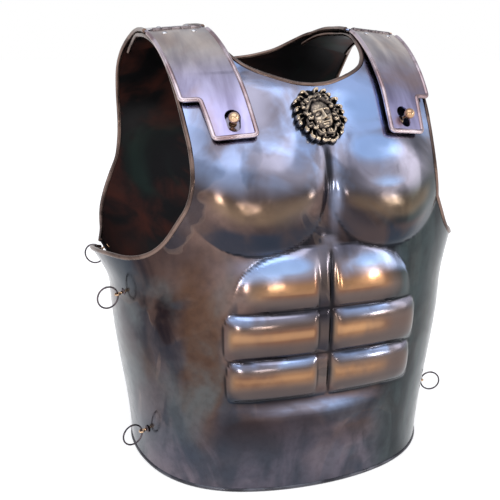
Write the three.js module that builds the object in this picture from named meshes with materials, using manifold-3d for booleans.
// A muscle cuirass: breastplate, backplate, two hinged shoulder straps, a mask medallion and lacing rings.
// Millimetres, +Z up, the front faces -Y and the wearer's left is +X. The hem stands on z = 0.
import * as THREE from 'three';
import { mergeVertices } from 'three/addons/utils/BufferGeometryUtils.js';
import Module from 'manifold-3d';

const wasm = await Module();
wasm.setup();

// Torso form: half widths at hem, waist and chest, and the distances forward and back of the middle
const hemHalf = 176;
const waistHalf = 195;
const chestHalf = 240;
const hemFront = 154;
const waistFront = 161;
const chestFront = 151;
const waistBack = 117;
const chestBack = 218;
const waistMiddle = -2;
const chestMiddle = 56;
const waistRise = 196;
const chestRise = 300;
const backFrom = 110;
const backTo = 420;
const shoulderRun = 300;
const shoulderHeight = 184;
const shoulderDrop = 22;
const easeShare = 0.036;
const easeFrom = 66;
const easeTo = 88;
const squareShare = 0.027;
const setBack = 15.5;
const patternRadius = 200;

// Sheet, rolled edges and running gaps
const sheet = 1.5;
const sharedRises = [2, 48, 90, 133, 168, 205, 234];
const rollRadius = 2.4;
const hemRadius = 2.4;
const hemCentre = 2;
const gap = 0.3;
const boreGap = 0.4;
const overrun = 8;
const probe = 0.5;
const weld = 0.0005;
const bowRadius = 1500;

// Muscle relief
const pecDepth = 12;
const pecMiddle = 74;
const pecReach = 66;
const pecFloor = 258;
const pecFloorCurl = 35;
const pecCrest = 300;
const pecSwell = 40;
const pecFade = 125;
const rowEdges = [110, 156, 205, 266];
const rowHalves = [104, 107, 99];
const rowDip = 4;
const barDepth = 9;
const barInner = 5;
const barInnerRun = 18;
const barOuterRun = 16;
const archRun = 34;
const archHalf = 46;
const bladeDepth = 6;
const bladeMiddle = 88;
const bladeHalf = 70;
const bladeRise = 395;
const bladeTall = 90;
const spineDepth = 5;
const spineHalf = 26;
const spineFoot = 30;
const spineRun = 90;

// Plate joint at the sides, and how the backplate steps from inside to outside on its way up
const frontWrap = 107;
const backWrap = 102;
const stepAngle = 110;
const tuckGap = 0.8;
const tuckTop = 222;
const tuckFoot = 7;
const backStepFrom = 330;
const backStepTo = 470;

// Shoulder straps, which keep their share of the chest's width
const strapLift = 4.2;
const tongueLift = 5.5;
const strapTopInner = 0.352 * chestHalf;
const strapTopOuter = 0.608 * chestHalf;
const strapStepOuter = 0.554 * chestHalf;
const strapStepInner = 0.483 * chestHalf;
const tongueOuter = 0.454 * chestHalf;
const tongueInner = 0.292 * chestHalf;
const hingeRise = 541;
const strapLength = 165;
const tongueRise = hingeRise - strapLength;
const tongueLength = 43;
const strapStepRise = tongueRise + tongueLength;
const strapBead = 2.4;
const beadStop = 7;
const cornerRadius = 3;

// Hinges
const hingeInset = 5.72;
const hingeShift = 0.6;
const hingeLength = strapTopOuter - strapTopInner - 2 * hingeInset;
const hingeMiddle = (strapTopInner + strapTopOuter) / 2 - hingeShift;
const pinOut = 5.4;
const knuckleRadius = 2.7;
const pinRadius = 1.3;
const pinHead = 1.9;
const pinEndGap = 0.8;
const pinHeadLength = 0.9;
const knuckleCount = 5;
const knuckleGap = 0.4;
const plateSetBack = 3.4;
const leafSheet = 1.2;
const leafDrop = 0.5;
const leafLength = 23;

// Rivets, studs and washers
const rivetSpread = 0.6 * hingeLength;
const rivetReach = 15;
const rivetShank = 1.4;
const rivetHead = 3;
const rivetDome = 1.6;
const rivetTail = 2.4;
const tailLength = 0.8;
const studX = 0.375 * chestHalf;
const studAbove = 17;
const studRise = tongueRise + studAbove;
const ballRadius = 5.4;
const ballClear = 1;
const studPost = 2;
const studCollar = 3.6;
const collarLength = 1.2;
const nutRadius = 5;
const nutLength = 1;
const keyRound = 7.5;
const keyRoundUp = 4.4;
const keySlot = 6.2;
const keySlotDown = 4.6;

// Medallion
const medalRise = 399;
const medalTurn = -0.75;
const medalRadius = 21.5;
const medalStretch = 1.13;
const medalRim = 3.8;
const medalBed = 0.8;
const medalDome = 4;
const medalTilt = 12;
const curlCount = 13;
const curlRadius = 5.4;
const crownCount = 11;
const crownRadius = 4.6;
const crownRing = 15.8;
const crownOpen = 70;
const faceHalf = 10;
const faceTall = 13.6;
const faceDeep = 10;
const faceDown = 3;
const noseLength = 8;
const noseWide = 4;
const eyeRadius = 2.2;
const lipHalf = 4;
const lipTall = 1.6;
const chinRadius = 3.6;
const medalPin = 1.2;
const medalPinHead = 2.6;
const medalPinReach = 15;
const medalPinDeep = 3;

// Lacing rings and their eyes
const ringRadius = 11.5;
const ringWire = 0.95;
const eyeStand = 6.6;
const eyeLoop = 2.6;
const eyeWire = 1.05;
const eyePost = 1.3;
const eyeWasher = 4.2;
const washerLength = 1.2;
const clench = 3;
const clenchLength = 0.9;

const rightAngle = Math.PI / 2;

// Shapes of the finishes
function finish(color, roughness, metalness) {
  return () => new THREE.MeshStandardMaterial({ color, roughness, metalness });
}
const patina = finish(0x6b4f45, 0.35, 1);
const patinaBack = finish(0x5a463f, 0.4, 1);
const strapMetal = finish(0x7f6c6e, 0.38, 1);
const brass = finish(0xb98a4a, 0.3, 1);
const steel = finish(0x5b5a5c, 0.35, 1);
const brightSteel = finish(0xb9b6b2, 0.25, 1);
const bronze = finish(0x2f2924, 0.45, 1);

// Number helpers
const radians = THREE.MathUtils.degToRad;
const smooth = (value) => THREE.MathUtils.smoothstep(value, 0, 1);
const mix = THREE.MathUtils.lerp;

// How far round to the side, and how far forward, the unit section lies at an angle from the front
function sideShare(angle) {
  return (Math.sin(angle) + squareShare * Math.sin(3 * angle)) / (1 - squareShare);
}
function frontShare(angle) {
  return (Math.cos(angle) - squareShare * Math.cos(3 * angle)) / (1 - squareShare);
}

// The torso section at a rise: half width, and the distances of its front, middle and back
function trueSection(rise) {
  const low = smooth(rise / waistRise);
  const high = smooth((rise - waistRise) / (chestRise - waistRise));
  return {
    half: mix(mix(hemHalf, waistHalf, low), chestHalf, high),
    front: mix(mix(hemFront, waistFront, low), chestFront, high),
    middle: mix(waistMiddle, chestMiddle, high),
    back: mix(waistBack, chestBack, smooth((rise - backFrom) / (backTo - backFrom))),
  };
}

// Low down, where one plate lies inside the other, both run straight from one shared rise to the next
function section(rise) {
  const next = sharedRises.findIndex((stop) => stop > rise);
  if (next < 1) return trueSection(rise);
  const below = trueSection(sharedRises[next - 1]);
  const above = trueSection(sharedRises[next]);
  const share = (rise - sharedRises[next - 1]) / (sharedRises[next] - sharedRises[next - 1]);
  const blend = (key) => [key, mix(below[key], above[key], share)];
  return Object.fromEntries(Object.keys(below).map(blend));
}

// A point of the bare form. Above the chest the form turns over the shoulder and down the other side.
// From near the top of the shoulder to the back it is eased down a little.
function formPoint(angle, rise) {
  const { half, front, middle, back } = section(rise);
  const turn = Math.max(0, rise - chestRise) / shoulderRun * rightAngle;
  const forward = frontShare(angle) * Math.cos(turn);
  const x = half * sideShare(angle);
  const drop = shoulderDrop * (x / chestHalf) ** 2;
  const depth = forward >= 0 ? middle + front : back - middle;
  const over = THREE.MathUtils.radToDeg(Math.cos(angle) > 0 ? turn : Math.PI - turn);
  const ease = 1 - easeShare * smooth((over - easeFrom) / (easeTo - easeFrom));
  const z = Math.min(rise, chestRise) + (shoulderHeight - drop) * ease * Math.sin(turn);
  return new THREE.Vector3(x, middle - depth * forward - setBack, z);
}

// The form's own axes at a point: across, up and out, with the point moved out along the last
function formFrame(angle, rise, out = 0) {
  const step = probe / patternRadius;
  const across = formPoint(angle + step, rise).sub(formPoint(angle - step, rise)).normalize();
  const up = formPoint(angle, rise + probe).sub(formPoint(angle, rise - probe));
  const outward = new THREE.Vector3().crossVectors(across, up).normalize();
  up.crossVectors(outward, across);
  return { across, up, outward, point: formPoint(angle, rise).addScaledVector(outward, out) };
}

// The angle at which the form is as wide as x, above the chest
function angleOf(x) {
  let low = 0;
  let high = rightAngle;
  for (let i = 0; i < 40; i += 1) {
    const middle = (low + high) / 2;
    if (chestHalf * sideShare(middle) < Math.abs(x)) low = middle;
    else high = middle;
  }
  return Math.sign(x) * low;
}

// Relief of the pectorals and the six abdominal bars, x from the middle of the front
function chestMuscle(x, rise) {
  const across = Math.abs(x - pecMiddle) / pecReach;
  const floor = pecFloor + pecFloorCurl * across ** 3;
  const under = smooth((rise - floor) / pecSwell);
  const over = 1 - smooth((rise - pecCrest) / pecFade);
  const pec = pecDepth * smooth((1 - across) * 2.2) * under * over;
  const level = rise + rowDip * (x / rowHalves[0]) ** 2;
  let bar = 0;
  for (let row = 0; row < rowHalves.length; row += 1) {
    const share = (level - rowEdges[row]) / (rowEdges[row + 1] - rowEdges[row]);
    if (share <= 0 || share >= 1) continue;
    const last = row === rowHalves.length - 1;
    const half = last ? mix(rowHalves[row], archHalf, share ** 2.2) : rowHalves[row];
    const roll = Math.sqrt(1 - Math.abs(2 * share - 1) ** 3);
    const inner = mix(0.35, 1, smooth((x - barInner) / barInnerRun)) * smooth(x / barInner);
    bar = barDepth * roll * inner * smooth((half - x) / (last ? archRun : barOuterRun));
  }
  return pec + bar;
}

// Relief of the shoulder blades and the groove of the spine
function backMuscle(x, rise) {
  const reach = Math.hypot((x - bladeMiddle) / bladeHalf, (rise - bladeRise) / bladeTall);
  const fade = smooth((rise - spineFoot) / spineRun) * (1 - smooth((rise - bladeRise) / bladeTall));
  return bladeDepth * smooth(1 - reach) - spineDepth * smooth(1 - x / spineHalf) * fade;
}

function muscle(angle, rise) {
  const x = Math.abs(section(rise).half * sideShare(angle));
  if (Math.cos(angle) < 0) return rise > chestRise + shoulderRun ? 0 : backMuscle(x, rise);
  return rise > pecCrest + pecFade ? 0 : chestMuscle(x, rise);
}

// How far the backplate's outer face lies from the form: tucked inside low down, over the tabs higher up
function backOut(angle, rise) {
  const over = smooth((rise - backStepFrom) / (backStepTo - backStepFrom));
  return mix(-sheet - tuckGap, strapLift + sheet, over) + muscle(angle, rise);
}

// The strap's outer face
function strapOut(angle, rise) {
  return mix(tongueLift, strapLift, smooth((rise - tongueRise) / (hingeRise - tongueRise))) + sheet
    + muscle(angle, rise);
}

// Solids for cutting and joining
function solid(geometry) {
  const bare = geometry.clone();
  bare.deleteAttribute('normal');
  bare.deleteAttribute('uv');
  const welded = mergeVertices(bare, weld);
  const vertProperties = new Float32Array(welded.attributes.position.array);
  const triVerts = new Uint32Array(welded.index.array);
  return new wasm.Manifold(new wasm.Mesh({ numProp: 3, vertProperties, triVerts }));
}

function surface(body) {
  const mesh = body.getMesh();
  const geometry = new THREE.BufferGeometry();
  geometry.setAttribute('position', new THREE.BufferAttribute(new Float32Array(mesh.vertProperties), 3));
  geometry.setIndex(new THREE.BufferAttribute(new Uint32Array(mesh.triVerts), 1));
  return geometry;
}

function mirrored(geometry) {
  const twin = geometry.clone().scale(-1, 1, 1);
  const index = twin.index.array;
  for (let i = 0; i < index.length; i += 3) [index[i], index[i + 1]] = [index[i + 1], index[i]];
  return twin;
}

// A sheet is cut flat and then formed. Flat, x is the angle times the pattern radius and y is the rise.
// The flat sheet is bowed a little, so that every grid point is a real corner until it is formed.
const bow = (across, rise) => (across * across + rise * rise) / (2 * bowRadius);

function flatSlab(acrossStops, riseStops, thickness) {
  const columns = acrossStops.length - 1;
  const rows = riseStops.length - 1;
  const box = new THREE.BoxGeometry(1, 1, 1, columns, rows, 1);
  const position = box.attributes.position;
  for (let i = 0; i < position.count; i += 1) {
    const across = acrossStops[Math.round((position.getX(i) + 1 / 2) * columns)];
    const rise = riseStops[Math.round((position.getY(i) + 1 / 2) * rows)];
    const level = position.getZ(i) > 0 ? 0 : -thickness;
    position.setXYZ(i, across, rise, level + bow(across, rise));
  }
  return solid(box);
}

function flatPrism(points) {
  const height = points.reduce((most, point) => Math.max(most, bow(point.x, point.y)), 0) + overrun;
  const depth = height + overrun;
  const prism = new THREE.ExtrudeGeometry(new THREE.Shape(points), { depth, bevelEnabled: false });
  return solid(prism.translate(0, 0, -overrun));
}

// A path through given points that keeps their own spacing
class Seam extends THREE.Curve {
  constructor(points, closed = false) {
    super();
    this.points = points;
    this.closed = closed;
  }

  getPoint(share) {
    const count = this.points.length - 1;
    const place = Math.min(Math.max(share, 0), 1) * count;
    const index = Math.min(Math.floor(place), count - 1);
    return this.points[index].clone().lerp(this.points[index + 1], place - index);
  }

  getPointAt(share) {
    return this.getPoint(share);
  }

  getTangentAt(share) {
    return this.getTangent(share);
  }
}

function disc(radius, sides) {
  const corners = [];
  for (let i = 0; i < sides; i += 1) {
    const angle = (i + 1 / 2) / sides * 2 * Math.PI;
    corners.push(new THREE.Vector2(radius * Math.cos(angle), radius * Math.sin(angle)));
  }
  return new THREE.Shape(corners);
}

// A rolled edge: a round bead along a flat outline, centred in the sheet
function flatBead(points, radius, thickness, sides = 6) {
  const middle = (point) => bow(point.x, point.y) - thickness / 2;
  const path = points.map((point) => new THREE.Vector3(point.x, point.y, middle(point)));
  const steps = path.length - 1;
  return solid(new THREE.ExtrudeGeometry(disc(radius, sides), { steps, extrudePath: new Seam(path) }));
}

// Bends a flat sheet on to the torso, its top face at outAt
function formed(flat, outAt) {
  const geometry = surface(flat);
  const position = geometry.attributes.position;
  for (let i = 0; i < position.count; i += 1) {
    const angle = position.getX(i) / patternRadius;
    const rise = position.getY(i);
    const out = position.getZ(i) - bow(position.getX(i), rise) + outAt(angle, rise);
    const { point } = formFrame(angle, rise, out);
    position.setXYZ(i, point.x, point.y, point.z);
  }
  return solid(geometry);
}

// Flat pattern points from degrees round the torso, or from a distance x off the middle, and a rise
const atAngle = (degrees, rise) => new THREE.Vector2(radians(degrees) * patternRadius, rise);
const atX = (x, rise) => new THREE.Vector2(angleOf(x) * patternRadius, rise);
const across = (degrees) => radians(degrees) * patternRadius;
const flip = (points) => points.map((point) => new THREE.Vector2(-point.x, point.y)).reverse();
const curve = (points, count) => new THREE.SplineCurve(points).getPoints(count);

// Outlines are tables of shares: degrees round from the middle, and a share of the rise to the shoulder ridge
const ridgeRise = chestRise + shoulderRun;
const outline = (shares) => shares.map(([degrees, share]) => atAngle(degrees, share * ridgeRise));

const armholeShares = [
  [frontWrap, 0.381], [94, 0.394], [80, 0.407], [68, 0.415], [56, 0.419], [47, 0.431], [40, 0.453],
  [35, 0.484], [31.8, 0.518], [30.3, 0.56], [30.3, 0.61], [31.1, 0.667], [31.8, 0.74], [32.6, 0.83],
  [33.9, 0.9], [34.2, 0.96], [33.8, 1.02], [33.6, 1.085], [34, 1.15],
];
const tabInnerShares = [
  [17.6, 1.12], [19.2, 1.055], [20.3, 1.01], [20.4, 0.96], [19.3, 0.91], [17.8, 0.842], [16.7, 0.81],
  [15.2, 0.786], [13.3, 0.769], [10.5, 0.754], [7, 0.74], [3.5, 0.7305], [0, 0.7275],
];
const backArmholeShares = [
  [180 - stepAngle, 0.388], [63.3, 0.398], [58, 0.414], [48.4, 0.453], [43, 0.483], [39.6, 0.513],
  [37.1, 0.55], [35.5, 0.631], [36.1, 0.76], [35.9, 0.818], [35.1, 0.87], [34.2, 0.92], [33.7, 0.98],
  [33.9, 1.04],
];
const backNeckShares = [
  [18.9, 1.06], [19.6, 1], [18.8, 0.934], [17.3, 0.908], [15.2, 0.87], [11.4, 0.825], [5.5, 0.798], [0, 0.788],
];

// Grid lines shared by all that meet at a hinge, from the strap side to the back
const strapColumns = [14, 20, 27, 33, 41];
const hingeRows = [511, 526, hingeRise, 562, 578];
const strapRowCount = 9;

// Grid lines of the two plates, in degrees and in rises; both plates share the lines where they overlap
const frontColumns = [0, 1.4, 5, 10, 16, 22, 27, 31, 36, 46, 58, 70, 86, backWrap, frontWrap];
const frontRows = [
  ...sharedRises, rowEdges[0], 120, 145, rowEdges[1], 180, 194, 217, 251, rowEdges[3],
  282, pecCrest, 325, 352, 380, 408, 436, 465, 500, 528, 548, 578, 608, 650, 692,
].sort((one, other) => one - other);
const backColumns = [0, 7, ...strapColumns, 50, 60, 180 - stepAngle, 180 - frontWrap, 180 - backWrap];
const backRows = [
  ...sharedRises, 265, 298, 330, 365, 400, 435, 470, 508, 550, 592,
  ...hingeRows.slice(2).reverse().map((row) => 2 * ridgeRise - row),
];

function mirroredStops(degrees) {
  return [...degrees.slice(1).reverse().map((angle) => -angle), ...degrees].map(across);
}

function cutBase(body) {
  const wide = 4 * chestHalf;
  const box = new THREE.BoxGeometry(wide, wide, wide).translate(0, 0, -wide / 2);
  return body.subtract(solid(box));
}

// The form's frame at a place as a matrix, Z outward
function frameAt(angle, rise) {
  const { across: side, up, outward, point } = formFrame(angle, rise);
  return new THREE.Matrix4().makeBasis(side, up, outward).setPosition(point);
}

function core(angle, rise, radius, sides = 8) {
  const rod = new THREE.CylinderGeometry(radius, radius, 4 * overrun, sides).rotateX(rightAngle);
  return solid(rod.applyMatrix4(frameAt(angle, rise)));
}

const drill = (body, angle, rise, radius) => body.subtract(core(angle, rise, radius + boreGap));

// The lowest and highest level of some sheets round a place, measured outward from the form
function grip(bodies, angle, rise, radius) {
  const rod = core(angle, rise, radius);
  const back = frameAt(angle, rise).invert();
  const box = new THREE.Box3();
  for (const body of bodies) {
    const piece = surface(body.intersect(rod)).applyMatrix4(back);
    piece.computeBoundingBox();
    box.union(piece.boundingBox);
  }
  return { low: box.min.z, high: box.max.z };
}

// Where the lacing rings stand: side, plate, degrees from the front, rise, and how far each is laid back
const laidBack = 74;
const ringPlaces = [
  { name: 'right_front_upper', side: -1, degrees: 73, rise: 207, back: false, swing: 0 },
  { name: 'right_front_lower', side: -1, degrees: 70, rise: 47, back: false, swing: 0 },
  { name: 'left_front_upper', side: 1, degrees: 73, rise: 207, back: false, swing: laidBack },
  { name: 'left_front_lower', side: 1, degrees: 70, rise: 56, back: false, swing: 0 },
  { name: 'right_back_upper', side: -1, degrees: 114, rise: 224, back: true, swing: 0 },
  { name: 'right_back_lower', side: -1, degrees: 118, rise: 50, back: true, swing: laidBack },
  { name: 'left_back_upper', side: 1, degrees: 114, rise: 224, back: true, swing: 0 },
  { name: 'left_back_lower', side: 1, degrees: 118, rise: 50, back: true, swing: laidBack },
];
const ringAngle = (spot) => spot.side * radians(spot.degrees);
const studAngle = angleOf(studX);
const medalAngle = radians(medalTurn);
const medalPinRises = [medalRise - medalPinReach, medalRise + medalPinReach];
const rivetXs = [hingeMiddle - rivetSpread / 2, hingeMiddle + rivetSpread / 2];

// The breastplate
function breastplate() {
  const armhole = curve(outline(armholeShares), 30);
  const inner = curve(outline(tabInnerShares), 19);
  const foot = atAngle(frontWrap, hemCentre);
  const half = [foot, ...armhole, ...inner.slice(0, -1)];
  const points = [...half, inner[inner.length - 1], ...flip(half)];
  const edge = [...armhole, ...inner];
  const hem = frontColumns.map((degrees) => atAngle(degrees, hemCentre));
  const hemLine = [...flip(hem.slice(1)), ...hem];
  const flat = flatSlab(mirroredStops(frontColumns), frontRows, sheet)
    .intersect(flatPrism(points))
    .add(flatBead([...edge, ...flip(edge).slice(1)], rollRadius, sheet))
    .add(flatBead(hemLine, hemRadius, sheet));
  let plate = cutBase(formed(flat, muscle));
  for (const side of [-1, 1]) plate = drill(plate, side * studAngle, studRise, studPost);
  for (const rise of medalPinRises) plate = drill(plate, medalAngle, rise, medalPin);
  for (const place of ringPlaces) {
    if (!place.back) plate = drill(plate, ringAngle(place), place.rise, eyePost);
  }
  return plate;
}

// The backplate, drawn from the middle of the back, which is half a turn from the front
function backplate() {
  const turned = (points) => points.map((point) => new THREE.Vector2(across(180) - point.x, point.y));
  const armhole = curve(outline(backArmholeShares), 20);
  const corner = ridgeRise * 2 - hingeRise - plateSetBack;
  const shoulder = [atX(strapTopOuter, corner), atX(strapTopInner, corner)];
  const neck = curve(outline(backNeckShares), 12);
  const tuck = [
    atAngle(180 - stepAngle - 0.5, hemCentre), atAngle(180 - stepAngle, tuckFoot),
    atAngle(180 - backWrap, tuckFoot), atAngle(180 - backWrap, tuckTop), atAngle(180 - stepAngle, tuckTop),
  ];
  const half = [...tuck, ...armhole, ...shoulder, ...neck.slice(0, -1)];
  const points = turned([...half, neck[neck.length - 1], ...flip(half)]);
  const armholeEdge = [...armhole, atX(strapTopOuter, corner - beadStop / 2)];
  const neckEdge = [atX(strapTopInner, corner - beadStop / 2), ...neck, ...flip(neck).slice(1)];
  neckEdge.push(atX(-strapTopInner, corner - beadStop / 2));
  const hemColumns = backColumns.filter((degrees) => degrees < 180 - stepAngle);
  const hem = hemColumns.map((degrees) => atAngle(degrees, hemCentre));
  hem.push(tuck[0]);
  const hemLine = [...flip(hem.slice(1)), ...hem];
  const stops = mirroredStops(backColumns).map((stop) => stop + across(180));
  const flat = flatSlab(stops, backRows, sheet)
    .intersect(flatPrism(points))
    .add(flatBead(turned(armholeEdge), rollRadius, sheet))
    .add(flatBead(turned(flip(armholeEdge)), rollRadius, sheet))
    .add(flatBead(turned(neckEdge), rollRadius, sheet))
    .add(flatBead(turned(hemLine), hemRadius, sheet));
  const knuckles = hingeCore(knuckleRadius + gap, hingeLength + 2 * overrun);
  let plate = cutBase(formed(flat, backOut)).subtract(knuckles).subtract(solid(mirrored(surface(knuckles))));
  for (const x of rivetXs) {
    for (const side of [-1, 1]) plate = drill(plate, side * angleOf(x), hingeRise + rivetReach, rivetShank);
  }
  for (const place of ringPlaces) {
    if (place.back) plate = drill(plate, ringAngle(place), place.rise, eyePost);
  }
  return plate;
}

// Rounds the corners of an outline with short arcs
function rounded(points, radius, steps = 3) {
  const round = [points[0]];
  for (let i = 1; i < points.length - 1; i += 1) {
    const corner = points[i];
    const from = points[i - 1].clone().sub(corner).setLength(radius).add(corner);
    const to = points[i + 1].clone().sub(corner).setLength(radius).add(corner);
    round.push(...new THREE.QuadraticBezierCurve(from, corner, to).getPoints(steps));
  }
  round.push(points[points.length - 1]);
  return round;
}

// Adds points along the long straight runs, so that a sheet can bend there
function stepped(points, pitch) {
  const dense = [points[0]];
  for (let i = 1; i < points.length; i += 1) {
    const from = points[i - 1];
    const count = Math.max(1, Math.round(from.distanceTo(points[i]) / pitch));
    for (let k = 1; k <= count; k += 1) dense.push(from.clone().lerp(points[i], k / count));
  }
  return dense;
}

function spread(from, to, count) {
  return Array.from({ length: count + 1 }, (_, i) => mix(from, to, i / count));
}

// The left shoulder strap: a stepped plate with a beaded border and a keyhole for the stud
function shoulderStrap() {
  const top = hingeRise - plateSetBack;
  const corners = [
    atX(strapTopOuter, top), atX(strapStepOuter, strapStepRise), atX(strapStepInner, strapStepRise),
    atX(tongueOuter, tongueRise), atX(tongueInner, tongueRise + strapBead), atX(strapTopInner, top),
  ];
  const edge = stepped(rounded(corners, cornerRadius), 6 * strapBead);
  const beadLine = edge.filter((point) => point.y < top - beadStop + plateSetBack);
  const rows = spread(tongueRise - overrun, hingeRows[0], strapRowCount);
  rows.push(hingeRows[1], hingeRise, hingeRise + overrun);
  const flat = flatSlab(strapColumns.map(across), rows, sheet)
    .intersect(flatPrism(edge))
    .add(flatBead(beadLine, strapBead, sheet));
  let strap = formed(flat, strapOut).subtract(hingeCore(knuckleRadius + gap, hingeLength + 2 * overrun));
  for (const x of rivetXs) strap = drill(strap, angleOf(x), hingeRise - rivetReach, rivetShank);
  const hole = new THREE.Shape();
  hole.absarc(0, keyRoundUp, keyRound, 0, Math.PI, false);
  hole.absarc(0, -keySlotDown, keySlot, Math.PI, 2 * Math.PI, false);
  const cut = { depth: 3 * overrun, bevelEnabled: false, curveSegments: 8 };
  const cutter = new THREE.ExtrudeGeometry(hole, cut);
  return strap.subtract(solid(cutter.applyMatrix4(frameAt(studAngle, studRise))));
}

// The hinge's own frame: X along the pin, Z out of the shoulder
function hingeFrame() {
  const half = hingeLength / 2;
  const inner = formFrame(angleOf(hingeMiddle - half), hingeRise, pinOut).point;
  const outer = formFrame(angleOf(hingeMiddle + half), hingeRise, pinOut).point;
  const along = outer.clone().sub(inner).normalize();
  const { outward } = formFrame(angleOf(hingeMiddle), hingeRise);
  const up = new THREE.Vector3().crossVectors(outward, along).normalize();
  outward.crossVectors(along, up);
  const middle = inner.add(outer).multiplyScalar(1 / 2);
  return new THREE.Matrix4().makeBasis(along, up, outward).setPosition(middle);
}

// A round bar along the pin, from the middle of the hinge or from a knuckle's own middle
function hingeCore(radius, length, middle = 0, sides = 10) {
  const bar = new THREE.CylinderGeometry(radius, radius, length, sides).rotateZ(rightAngle);
  return solid(bar.translate(middle, 0, 0).applyMatrix4(hingeFrame()));
}

// A hinge leaf: a bent plate with fingers, each rolled into a knuckle; forward 1 lies under the strap
function hingeLeaf(forward) {
  const pitch = hingeLength / knuckleCount;
  const start = hingeMiddle - hingeLength / 2;
  const points = [];
  for (let i = 0; i < knuckleCount; i += 1) {
    const own = i % 2 === (forward > 0 ? 1 : 0);
    const rise = hingeRise - forward * (own ? 0 : plateSetBack);
    points.push(atX(start + i * pitch + (own ? knuckleGap / 2 : -knuckleGap / 2), rise));
    points.push(atX(start + (i + 1) * pitch + (own ? -knuckleGap / 2 : knuckleGap / 2), rise));
  }
  points[0].x = atX(start, hingeRise).x;
  points[points.length - 1].x = atX(start + hingeLength, hingeRise).x;
  points.push(atX(start + hingeLength, hingeRise - forward * leafLength));
  points.push(atX(start, hingeRise - forward * leafLength));
  if (forward < 0) points.reverse();
  const rows = forward > 0 ? hingeRows.slice(0, 3) : hingeRows.slice(2);
  if (forward > 0) rows.push(hingeRise + overrun);
  else rows.unshift(hingeRise - overrun);
  const flat = flatSlab(strapColumns.map(across), rows, leafSheet).intersect(flatPrism(points));
  let leaf = formed(flat, () => strapLift - leafDrop);
  for (let i = 0; i < knuckleCount; i += 1) {
    const middle = (i + 1 / 2) * pitch - hingeLength / 2;
    const own = i % 2 === (forward > 0 ? 1 : 0);
    if (own) leaf = leaf.add(hingeCore(knuckleRadius, pitch - knuckleGap, middle));
    else leaf = leaf.subtract(hingeCore(knuckleRadius + gap, pitch + knuckleGap, middle));
  }
  leaf = leaf.subtract(hingeCore(pinRadius + gap, 2 * hingeLength));
  for (const x of rivetXs) leaf = drill(leaf, angleOf(x), hingeRise - forward * rivetReach, rivetShank);
  return leaf;
}

// Turned pieces, each a profile of radius and height that starts and ends on its axis
function turnedPiece(profile, sides = 12) {
  const points = profile.map(([radius, height]) => new THREE.Vector2(radius, height));
  return new THREE.LatheGeometry(points, sides).rotateX(rightAngle);
}

function hingePin() {
  const half = hingeLength / 2 + pinEndGap;
  const pin = turnedPiece([
    [0, -half - pinHeadLength], [pinHead, -half - pinHeadLength], [pinHead, -half], [pinRadius, -half],
    [pinRadius, half], [pinHead, half], [pinHead, half + pinHeadLength], [0, half + pinHeadLength],
  ], 10);
  return pin.rotateY(rightAngle);
}

// A domed rivet through a strap or tab and its hinge leaf, just clear of both faces
function rivet(grips) {
  const head = grips.high + gap;
  const tail = grips.low - gap;
  return turnedPiece([
    [0, tail - tailLength], [rivetTail, tail - tailLength], [rivetTail, tail], [rivetShank, tail],
    [rivetShank, head], [rivetHead, head], [0.8 * rivetHead, head + 0.65 * rivetDome], [0, head + rivetDome],
  ], 10);
}

// A ball stud: collar on the chest, post through the keyhole, ball over it and a peened end inside
function ballStud(chest, strapTop) {
  const base = chest.high + gap;
  const centre = strapTop + ballClear + ballRadius;
  const end = chest.low - 2 * gap - nutLength;
  const neck = Math.asin(studPost / ballRadius);
  const ball = spread(neck, Math.PI, 7).map((turn) => [
    ballRadius * Math.sin(turn), centre - ballRadius * Math.cos(turn),
  ]);
  ball[ball.length - 1][0] = 0;
  return turnedPiece([
    [0, end - collarLength], [studCollar, end - collarLength], [studCollar, end], [studPost, end],
    [studPost, base], [studCollar, base], [studCollar, base + collarLength],
    [studPost, base + 2 * collarLength], ...ball,
  ], 14);
}

function washer(inner, outer, length, sides = 12) {
  return turnedPiece([[inner, 0], [outer, 0], [outer, length], [inner, length], [inner, 0]], sides);
}

// The medallion, made flat: a domed disc, a ring of curls, a crown of curls and a plain calm mask
function medallionFlat() {
  const ball = (radius, x, y, z, wide = 6, tall = 4) => solid(
    new THREE.SphereGeometry(radius, wide, tall).rotateX(rightAngle).translate(x, y, z),
  );
  const base = [
    [0, 0], [medalRadius, 0], [medalRadius, medalRim], [0.6 * medalRadius, medalRim + 0.8 * medalDome],
    [0, medalRim + medalDome],
  ];
  let body = solid(turnedPiece(base, 26));
  for (let i = 0; i < curlCount; i += 1) {
    const angle = i / curlCount * 2 * Math.PI;
    const x = medalRadius * Math.sin(angle);
    const y = medalRadius * Math.cos(angle);
    body = body.add(ball(curlRadius, x, y, medalRim));
  }
  for (let i = 0; i < crownCount; i += 1) {
    const angle = radians(mix(crownOpen - 180, 180 - crownOpen, i / (crownCount - 1)) * 1.25);
    const x = crownRing * Math.sin(angle);
    const y = crownRing * Math.cos(angle);
    body = body.add(ball(crownRadius, x, y, medalRim + medalDome + 0.2 * crownRadius));
  }
  const head = new THREE.SphereGeometry(1, 14, 9).scale(faceHalf, faceTall, faceDeep);
  body = body.add(solid(head.translate(0, -faceDown, medalRim)));
  const level = medalRim + faceDeep;
  const nose = new THREE.CylinderGeometry(0.3 * noseWide, 0.6 * noseWide, noseLength, 5);
  body = body.add(solid(nose.translate(0, -faceDown, level)));
  for (const side of [-1, 1]) {
    body = body.add(ball(eyeRadius, side * 0.42 * faceHalf, 0.1 * faceTall - faceDown, 0.82 * level));
  }
  const lips = new THREE.SphereGeometry(1, 8, 5).scale(lipHalf, lipTall, lipTall);
  body = body.add(solid(lips.translate(0, -0.5 * faceTall - faceDown, 0.9 * level)));
  body = body.add(ball(chinRadius, 0, -0.76 * faceTall - faceDown, 0.66 * level));
  const foot = new THREE.BoxGeometry(4 * medalRadius, 4 * medalRadius, overrun).translate(0, 0, -overrun / 2);
  return body.subtract(solid(foot));
}

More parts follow.
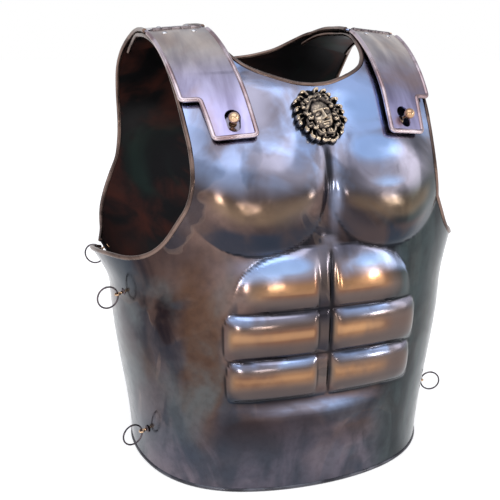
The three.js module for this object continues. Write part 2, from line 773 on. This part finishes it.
// Lays a flat relief on the chest, its foot a gap off the plate
function medallion() {
  const geometry = surface(medallionFlat()).scale(1, medalStretch, 1).rotateZ(radians(medalTilt));
  const position = geometry.attributes.position;
  const centre = formFrame(medalAngle, medalRise);
  const step = probe / patternRadius;
  const perAngle = formPoint(medalAngle + step, medalRise).sub(centre.point).length() / step;
  const perRise = formPoint(medalAngle, medalRise + probe).sub(centre.point).length() / probe;
  for (let i = 0; i < position.count; i += 1) {
    const angle = medalAngle + position.getX(i) / perAngle;
    const rise = medalRise + position.getY(i) / perRise;
    const { point } = formFrame(angle, rise, position.getZ(i) - medalBed + muscle(angle, rise));
    position.setXYZ(i, point.x, point.y, point.z);
  }
  let body = solid(geometry);
  for (const rise of medalPinRises) {
    const depth = muscle(medalAngle, rise) + medalPinDeep + gap;
    const bore = medalPin + boreGap + gap;
    const rod = new THREE.CylinderGeometry(bore, bore, 2 * depth, 8).rotateX(rightAngle);
    body = body.subtract(solid(rod.applyMatrix4(frameAt(medalAngle, rise))));
  }
  for (const level of [gap, gap - sheet / 2, gap - sheet, gap - 2 * sheet]) {
    const lift = centre.outward.clone().multiplyScalar(level);
    body = body.subtract(solid(surface(bodies.breastplate).translate(lift.x, lift.y, lift.z)));
  }
  return body;
}

function medallionPin(grips) {
  const head = grips.low - gap;
  return turnedPiece([
    [0, head - rivetDome], [0.8 * medalPinHead, head - 0.65 * rivetDome], [medalPinHead, head],
    [medalPin, head], [medalPin, medalPinDeep], [0, medalPinDeep],
  ], 10);
}

// A ring's eye: a loop on a post that is clenched inside the plate, and the ring that hangs in it
function ringEye(grips) {
  const loop = new THREE.TorusGeometry(eyeLoop, eyeWire, 5, 10).rotateX(rightAngle);
  loop.translate(0, 0, grips.high + eyeStand);
  const end = grips.low - gap;
  const top = grips.high + eyeStand - eyeLoop;
  const post = turnedPiece([
    [0, end - clenchLength], [clench, end - clenchLength], [clench, end], [eyePost, end], [eyePost, top],
    [0, top],
  ], 8);
  return surface(solid(loop).add(solid(post)));
}

function lacingRing() {
  const ring = new THREE.TorusGeometry(ringRadius, ringWire, 5, 20);
  return ring.rotateY(-rightAngle).translate(0, 0, ringRadius);
}

// Assembly
const cuirass = new THREE.Group();

function place(name, geometry, makeMaterial, parent = cuirass) {
  const mesh = new THREE.Mesh(geometry, makeMaterial());
  mesh.name = name;
  parent.add(mesh);
  return mesh;
}

function seat(angle, rise) {
  const group = new THREE.Group();
  group.applyMatrix4(frameAt(angle, rise));
  cuirass.add(group);
  return group;
}

const bodies = { breastplate: breastplate(), backplate: backplate(), strap: shoulderStrap() };
bodies.strapLeaf = hingeLeaf(1);
bodies.backLeaf = hingeLeaf(-1);
bodies.medallion = medallion();

place('breastplate', surface(bodies.breastplate), patina);
place('backplate', surface(bodies.backplate), patinaBack);
place('medallion', surface(bodies.medallion), bronze);
medalPinRises.forEach((rise, i) => {
  const grips = grip([bodies.breastplate], medalAngle, rise, medalPinHead);
  place(['medallion_pin_lower', 'medallion_pin_upper'][i], medallionPin(grips), brass, seat(medalAngle, rise));
});

for (const [word, side] of [['left', 1], ['right', -1]]) {
  const handed = (body) => (side > 0 ? surface(body) : mirrored(surface(body)));
  place(`${word}_shoulder_strap`, handed(bodies.strap), strapMetal);
  place(`${word}_hinge_strap_leaf`, handed(bodies.strapLeaf), steel);
  place(`${word}_hinge_back_leaf`, handed(bodies.backLeaf), steel);
  const pin = solid(hingePin().applyMatrix4(hingeFrame()));
  place(`${word}_hinge_pin`, handed(pin), steel);
  rivetXs.forEach((x, i) => {
    const spot = ['inner', 'outer'][i];
    const angle = angleOf(x);
    const strapRise = hingeRise - rivetReach;
    const backRise = hingeRise + rivetReach;
    const strapGrips = grip([bodies.strap, bodies.strapLeaf], angle, strapRise, rivetHead);
    const plateGrips = grip([bodies.backplate], side * angle, backRise, rivetHead);
    const leafGrips = grip([bodies.backLeaf], angle, backRise, rivetHead);
    const backGrips = { low: leafGrips.low, high: plateGrips.high };
    place(`${word}_strap_rivet_${spot}`, rivet(strapGrips), brightSteel, seat(side * angle, strapRise));
    place(`${word}_back_rivet_${spot}`, rivet(backGrips), brightSteel, seat(side * angle, backRise));
  });
  const chest = seat(side * studAngle, studRise);
  const chestGrips = grip([bodies.breastplate], side * studAngle, studRise, nutRadius);
  const strapTop = grip([bodies.strap], studAngle, studRise, keyRound + ballRadius).high;
  place(`${word}_ball_stud`, ballStud(chestGrips, strapTop), brass, chest);
  const nut = place(`${word}_stud_washer`, washer(studPost + gap, nutRadius, nutLength), brass, chest);
  nut.position.z = chestGrips.low - gap - nutLength;
}

for (const spot of ringPlaces) {
  const angle = radians(spot.degrees);
  const body = spot.back ? bodies.backplate : bodies.breastplate;
  const grips = grip([body], spot.side * angle, spot.rise, eyeWasher);
  const base = seat(spot.side * angle, spot.rise);
  place(`${spot.name}_eye`, ringEye(grips), brass, base);
  const disk = place(`${spot.name}_washer`, washer(eyePost + gap, eyeWasher, washerLength), steel, base);
  disk.position.z = grips.high + gap;
  const ring = place(`${spot.name}_ring`, lacingRing(), steel, base);
  ring.position.z = grips.high + eyeStand;
  ring.rotation.y = spot.side * radians(spot.swing);
}

export default cuirass;
